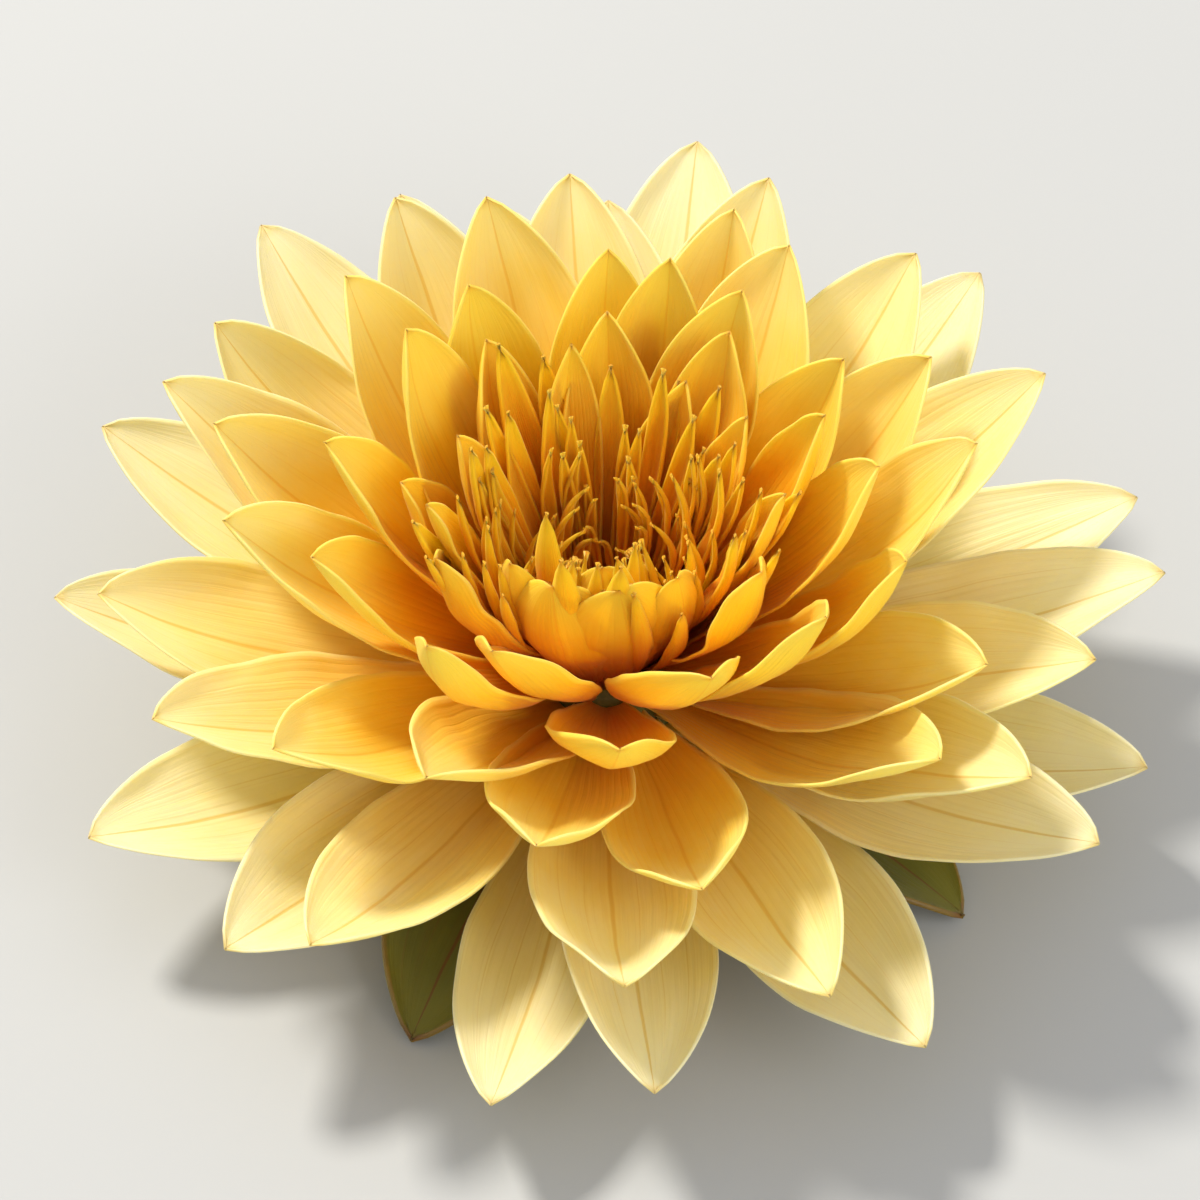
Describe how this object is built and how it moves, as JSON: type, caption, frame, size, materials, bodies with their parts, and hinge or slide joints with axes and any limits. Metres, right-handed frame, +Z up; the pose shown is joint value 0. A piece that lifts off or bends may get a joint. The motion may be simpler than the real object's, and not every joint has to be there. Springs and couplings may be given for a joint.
{
  "type": "water lily flower",
  "caption": "Open double water lily blossom with cupped pointed petals in whorls, a crown of strap-shaped stamens, drooping sepals and a short cut stem.",
  "frame": {"origin": "middle of the stem's cut end, on the surface the flower stands on", "axes": "+Z up through the flower, +X to its right, front of the flower faces -Y"},
  "size_m": [0.1632, 0.1616, 0.0728],
  "materials": {
    "petal_pale": "soft petal, pale cream yellow with fine darker veins",
    "petal_yellow": "soft petal, clear yellow, warmer at the foot",
    "petal_gold": "soft petal, golden yellow, orange at the foot",
    "sepal": "leathery, olive green with brown-red veins and edges",
    "stem": "smooth green stem with a brown tinge",
    "ovary": "rayed orange-yellow disc",
    "stamen": "satin orange straps with yellow tips"
  },
  "bodies": {
    "root": {"flower_stem": "stem", "ovary": "ovary", "petal_fourth_01": "petal_gold", "petal_fourth_02": "petal_gold", "petal_fourth_03": "petal_gold", "petal_fourth_04": "petal_gold", "petal_fourth_05": "petal_gold", "petal_fourth_06": "petal_gold", "petal_fourth_07": "petal_gold", "petal_fourth_08": "petal_gold", "petal_fourth_09": "petal_gold", "petal_fourth_10": "petal_gold", "petal_outer_01": "petal_pale", "petal_outer_02": "petal_pale", "petal_outer_03": "petal_pale", "petal_outer_04": "petal_pale", "petal_outer_05": "petal_pale", "petal_outer_06": "petal_pale", "petal_outer_07": "petal_pale", "petal_outer_08": "petal_pale", "petal_outer_09": "petal_pale", "petal_outer_10": "petal_pale", "petal_outer_11": "petal_pale", "petal_outer_12": "petal_pale", "petal_outer_13": "petal_pale", "petal_outer_14": "petal_pale", "petal_outer_15": "petal_pale", "petal_second_01": "petal_pale", "petal_second_02": "petal_pale", "petal_second_03": "petal_pale", "petal_second_04": "petal_pale", "petal_second_05": "petal_pale", "petal_second_06": "petal_pale", "petal_second_07": "petal_pale", "petal_second_08": "petal_pale", "petal_second_09": "petal_pale", "petal_second_10": "petal_pale", "petal_second_11": "petal_pale", "petal_second_12": "petal_pale", "petal_second_13": "petal_pale", "petal_second_14": "petal_pale", "petal_third_01": "petal_yellow", "petal_third_02": "petal_yellow", "petal_third_03": "petal_yellow", "petal_third_04": "petal_yellow", "petal_third_05": "petal_yellow", "petal_third_06": "petal_yellow", "petal_third_07": "petal_yellow", "petal_third_08": "petal_yellow", "petal_third_09": "petal_yellow", "petal_third_10": "petal_yellow", "petal_third_11": "petal_yellow", "petal_third_12": "petal_yellow", "petals_inner": "petal_gold", "sepal_1": "sepal", "sepal_2": "sepal", "sepal_3": "sepal", "sepal_4": "sepal", "stamens_inner": "stamen", "stamens_outer": "stamen"}
  },
  "joints": []
}
